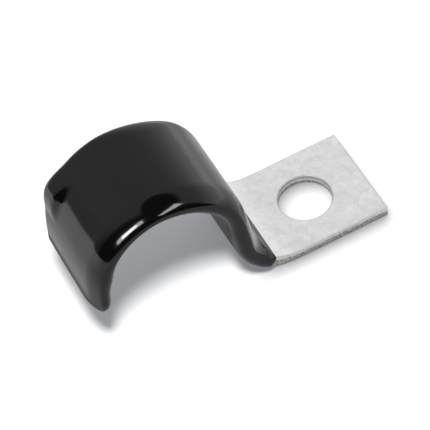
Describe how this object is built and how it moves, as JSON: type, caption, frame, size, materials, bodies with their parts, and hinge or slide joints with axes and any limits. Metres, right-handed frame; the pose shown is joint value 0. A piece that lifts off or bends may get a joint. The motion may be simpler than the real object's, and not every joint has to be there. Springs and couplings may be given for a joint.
{
  "type": "p clip",
  "caption": "Open half-loop cable clamp: a bent steel strap with a flat screw-hole tab, its loop dipped in glossy black vinyl.",
  "frame": {"origin": "centre of the screw hole in the face of the tab that sits on the mounting surface", "axes": "+Z out of the mounting surface along the screw, +X from the loop to the free end of the tab, +Y across the strap, along the tube that the loop holds"},
  "size_m": [0.0365, 0.0136, 0.0199],
  "materials": {
    "galvanised_steel": "bright zinc coat with a faint spangle, edges bare where they were sheared and punched",
    "black_vinyl": "glossy soft vinyl, dip moulded, with rounded edges and a slight bead where it set"
  },
  "bodies": {
    "root": {"steel_strap": "galvanised_steel", "vinyl_coating": "black_vinyl"}
  },
  "joints": []
}
